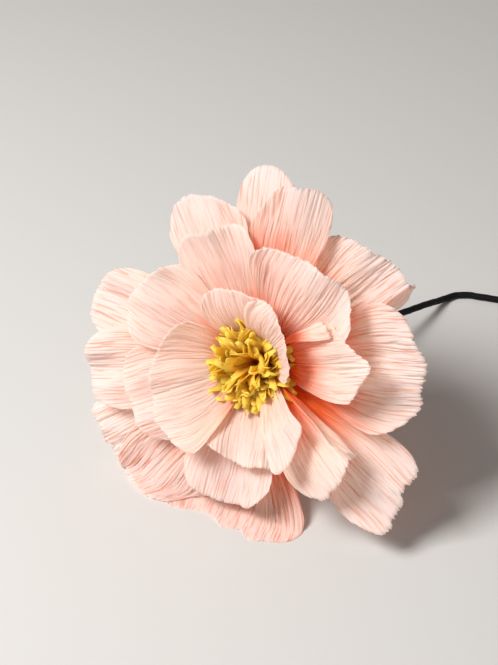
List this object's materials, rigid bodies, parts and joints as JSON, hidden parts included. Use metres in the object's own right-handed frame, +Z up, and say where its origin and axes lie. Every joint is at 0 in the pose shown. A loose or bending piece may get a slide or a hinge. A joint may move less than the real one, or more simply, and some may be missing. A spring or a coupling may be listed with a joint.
{
  "type": "crepe paper peony",
  "caption": "Open paper flower lying on its side: nested rings of cupped crepe petals round a fringed yellow centre, on a tape-wrapped wire stem bent where it meets the table.",
  "frame": {"origin": "centre of the overall box, on the table it lies on", "axes": "+Z up from the table, +X along the longest extent towards the stem's cut end, the open flower faces -Y and a little -X"},
  "size_m": [0.3028, 0.1578, 0.1223],
  "materials": {
    "paper_inner": "matt, finely ridged",
    "paper_mid": "matt, finely ridged",
    "paper_outer": "matt, finely ridged",
    "paper_yellow": "matt, cut in strands",
    "wire": "drawn",
    "tape": "waxed, wound"
  },
  "bodies": {
    "root": {"petal_inner_left": "paper_inner", "petal_inner_right": "paper_inner", "petal_inner_top": "paper_inner", "petal_inner_low_right": "paper_inner", "petal_inner_bottom": "paper_inner", "petal_mid_right": "paper_mid", "petal_mid_upper_right": "paper_mid", "petal_mid_low_right": "paper_mid", "petal_mid_left_upper": "paper_mid", "petal_mid_upper_left": "paper_mid", "petal_mid_left": "paper_mid", "petal_mid_bottom": "paper_mid", "petal_outer_top_right": "paper_outer", "petal_outer_top": "paper_outer", "petal_outer_left": "paper_outer", "petal_outer_right": "paper_outer", "petal_outer_right_upper": "paper_outer", "petal_outer_low_right": "paper_outer", "petal_outer_bottom_left": "paper_outer", "petal_outer_left_upper": "paper_outer", "petal_outer_top_left": "paper_outer", "petal_outer_low_left": "paper_outer", "petal_outer_bottom": "paper_outer", "stamen_fringe": "paper_yellow", "stem_wire": "wire", "stem_tape": "tape"}
  },
  "joints": []
}
